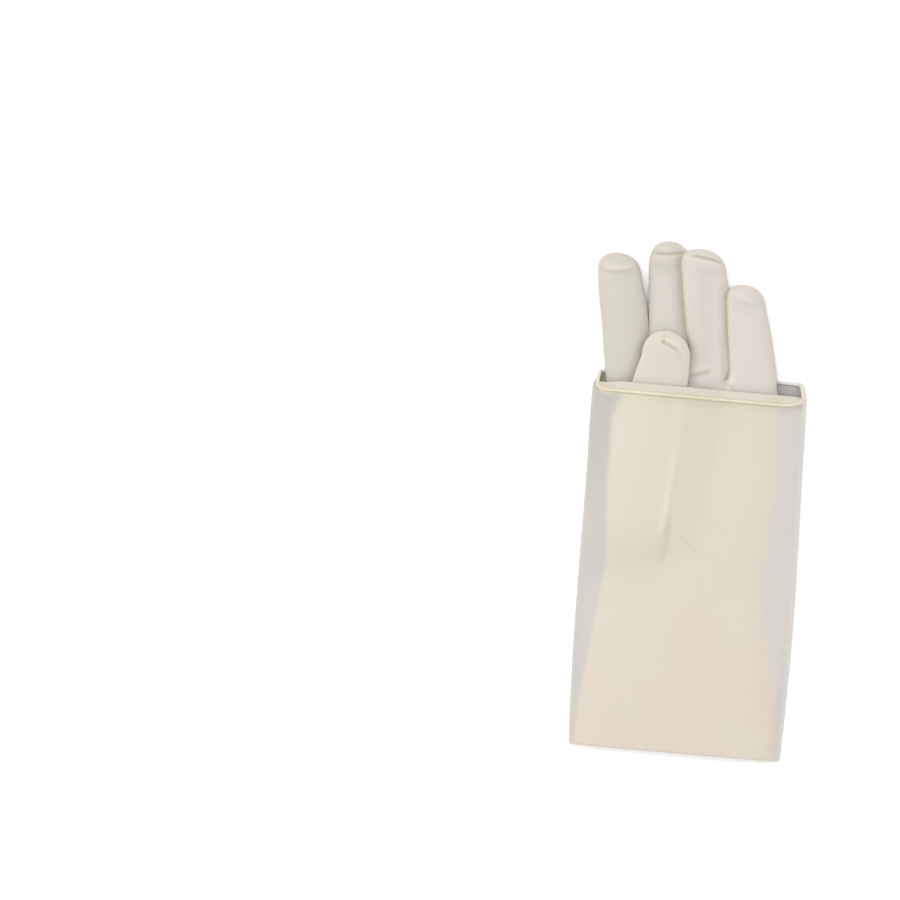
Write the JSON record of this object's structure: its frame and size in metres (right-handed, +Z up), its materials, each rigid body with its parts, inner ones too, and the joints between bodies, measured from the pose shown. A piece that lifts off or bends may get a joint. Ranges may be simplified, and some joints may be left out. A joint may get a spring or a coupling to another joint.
{
  "type": "obstetric glove",
  "caption": "Elbow-length thin latex glove lying flat, palm up, its long cuff turned back over the hand to a rolled bead at the finger roots.",
  "frame": {"origin": "on the table, under the middle of the glove's box", "axes": "+X across the glove to the little finger's side, +Y from the turned mouth to the fingertips, +Z up off the table out of the palm side"},
  "size_m": [0.1218, 0.2798, 0.0194],
  "materials": {
    "latex_film": "powdered satin latex, cream",
    "latex_bead": "satin latex, rolled thicker and yellower"
  },
  "bodies": {
    "root": {"glove_film": "latex_film", "rolled_bead": "latex_bead"}
  },
  "joints": []
}
